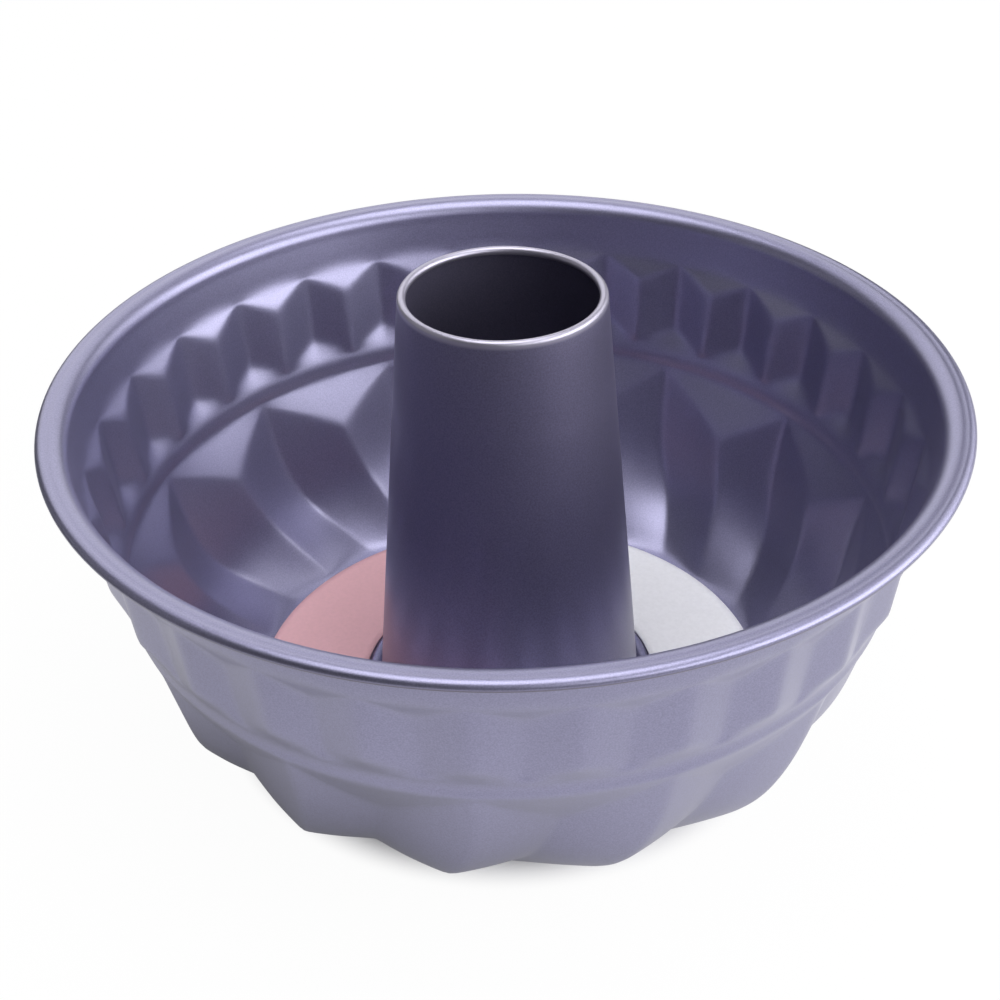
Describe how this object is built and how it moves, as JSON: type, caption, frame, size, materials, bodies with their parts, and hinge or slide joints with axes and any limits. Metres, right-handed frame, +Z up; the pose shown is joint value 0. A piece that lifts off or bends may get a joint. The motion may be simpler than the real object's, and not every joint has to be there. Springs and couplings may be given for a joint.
{
  "type": "fluted tube pan",
  "caption": "Round fluted cake tin with swirled petals, a plain girdle and a rolled rim, a conical centre tube seamed into its floor, and a loose card ring lying inside.",
  "frame": {"origin": "centre of the base, on the plane that the pan stands on", "axes": "+Z up along the tube's axis; the first petal's crease starts at +Y, and the picture looks along +Y from above the front rim"},
  "size_m": [0.25, 0.25, 0.131],
  "materials": {
    "coated_steel": "satin",
    "card": "matte"
  },
  "bodies": {
    "pan": {"pan_body": "coated_steel", "centre_tube": "coated_steel"},
    "card": {"card_ring": "card"}
  },
  "joints": [
    {"name": "card_lift", "type": "slide", "parent": "pan", "child": "card", "axis": [0, 0, 1], "range_m": [0, 0.135]}
  ]
}
